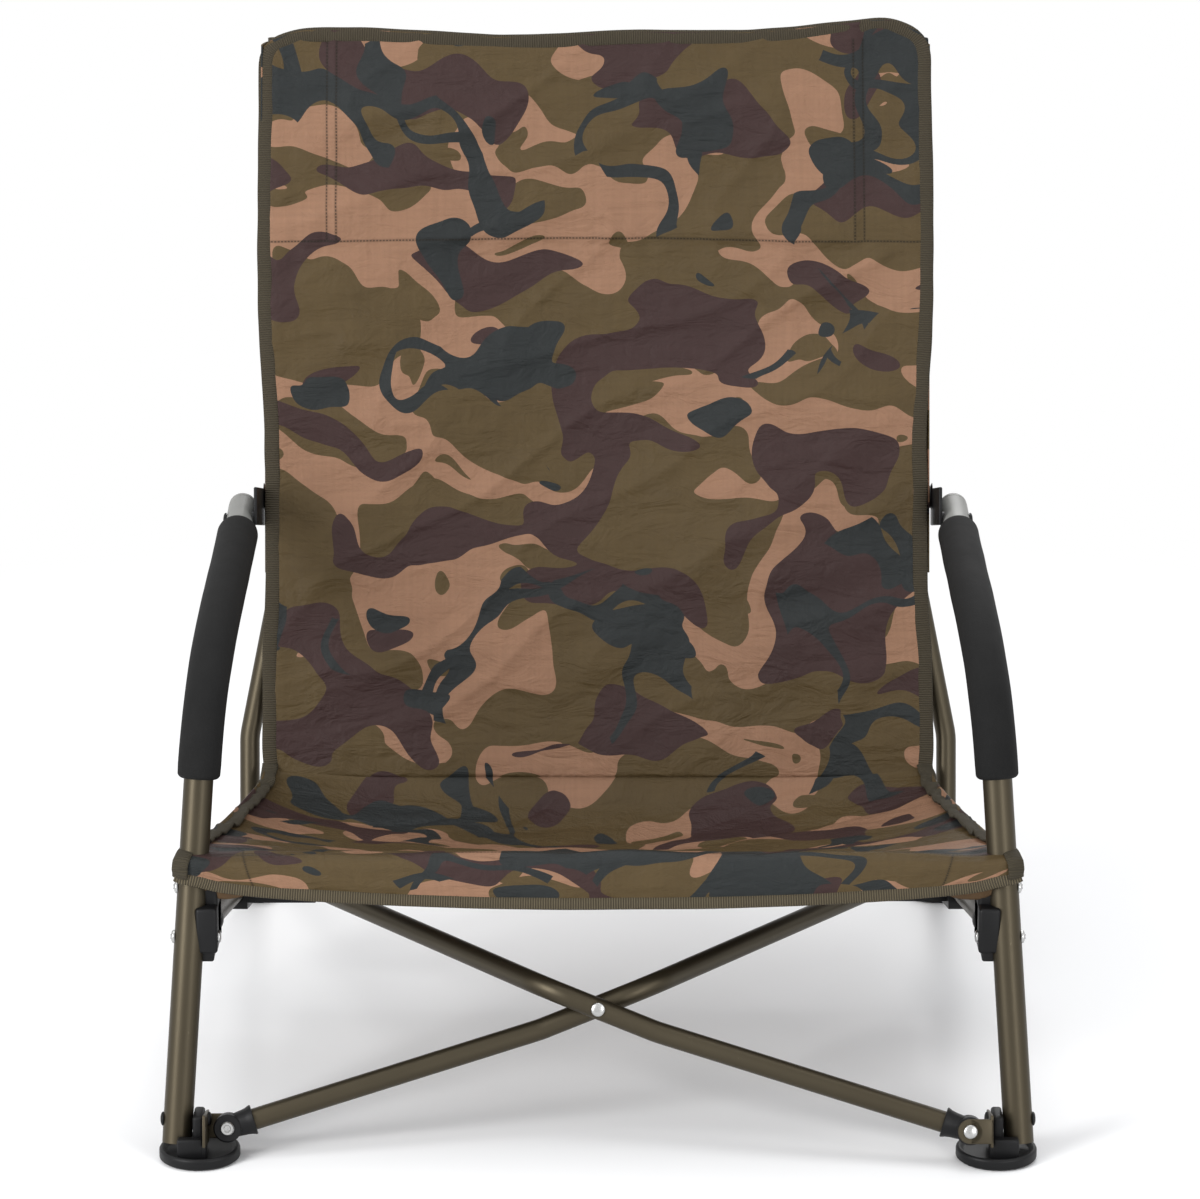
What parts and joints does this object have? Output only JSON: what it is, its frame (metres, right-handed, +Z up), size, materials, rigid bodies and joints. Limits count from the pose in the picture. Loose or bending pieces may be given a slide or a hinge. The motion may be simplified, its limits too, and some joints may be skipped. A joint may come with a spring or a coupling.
{
  "type": "folding_chair",
  "caption": "Low folding carp fishing chair with a camouflage sling seat and back, foam grips on its curved arms and broad mud feet",
  "frame": {"origin": "on the floor at the centre of the chair's box: midway between the left and right sides, and midway between the front and rear feet", "axes": "+X to the right as seen from the front, +Y to the rear, +Z up"},
  "size_m": [0.6506, 0.66, 0.757],
  "materials": {
    "painted_frame": "olive-grey satin paint on round steel tube",
    "rivet_steel": "domed zinc-plated rivet heads",
    "black_plastic": "moulded black nylon, finely textured",
    "cap_grey": "moulded grey end cap",
    "foam_grip": "closed-cell foam sleeve, charcoal, matte",
    "camo_cloth": null
  },
  "bodies": {
    "right_side": {"right_leg_arm_tube": "painted_frame", "right_arm_grip": "foam_grip", "right_arm_end_cap": "cap_grey", "right_arm_pivot_pin": "black_plastic", "right_arm_bracket": "black_plastic", "right_arm_bracket_bolt": "rivet_steel", "right_back_post": "painted_frame", "right_seat_bracket": "black_plastic", "right_upper_seat_rivet": "rivet_steel", "right_lower_seat_rivet": "rivet_steel", "right_side_bar": "painted_frame", "right_front_foot": "black_plastic", "right_rear_foot": "black_plastic", "right_foot_rivet": "black_plastic", "right_rear_hub": "black_plastic", "right_foot_bracket": "painted_frame", "right_foot_pivot_rivet": "rivet_steel", "seat_panel": "camo_cloth", "back_panel": "camo_cloth"},
    "front_scissor": {"front_cross_tube": "painted_frame", "right_foot_socket": "black_plastic", "left_hub_elbow": "black_plastic", "crossing_rivet": "rivet_steel"},
    "rear_scissor": {"rear_cross_tube": "painted_frame", "left_foot_socket": "black_plastic", "right_hub_elbow": "black_plastic"},
    "left_side": {"left_leg_arm_tube": "painted_frame", "left_arm_grip": "foam_grip", "left_arm_end_cap": "cap_grey", "left_arm_pivot_pin": "black_plastic", "left_arm_bracket": "black_plastic", "left_arm_bracket_bolt": "rivet_steel", "left_back_post": "painted_frame", "left_seat_bracket": "black_plastic", "left_upper_seat_rivet": "rivet_steel", "left_lower_seat_rivet": "rivet_steel", "left_side_bar": "painted_frame", "left_front_foot": "black_plastic", "left_rear_foot": "black_plastic", "left_foot_rivet": "black_plastic", "left_rear_hub": "black_plastic", "left_foot_bracket": "painted_frame", "left_foot_pivot_rivet": "rivet_steel"}
  },
  "joints": [
    {"name": "fold", "type": "hinge", "parent": "right_side", "child": "front_scissor", "pos_m": [0.274, -0.307, 0.025], "axis": [0, 0.9659, -0.2588], "range_deg": [0, 62], "deforming": ["seat_panel", "back_panel"]},
    {"name": "crossing_hinge", "type": "hinge", "parent": "front_scissor", "child": "rear_scissor", "pos_m": [0, -0.2605, 0.103], "axis": [0, 0.9659, -0.2588], "range_deg": [-124, 0]},
    {"name": "left_foot_hinge", "type": "hinge", "parent": "rear_scissor", "child": "left_side", "pos_m": [-0.274, -0.307, 0.025], "axis": [0, 0.9659, -0.2588], "range_deg": [0, 62]}
  ],
  "couplings": [
    {"joint": "crossing_hinge", "follows": "fold", "ratio": -2},
    {"joint": "left_foot_hinge", "follows": "fold", "ratio": 1}
  ]
}
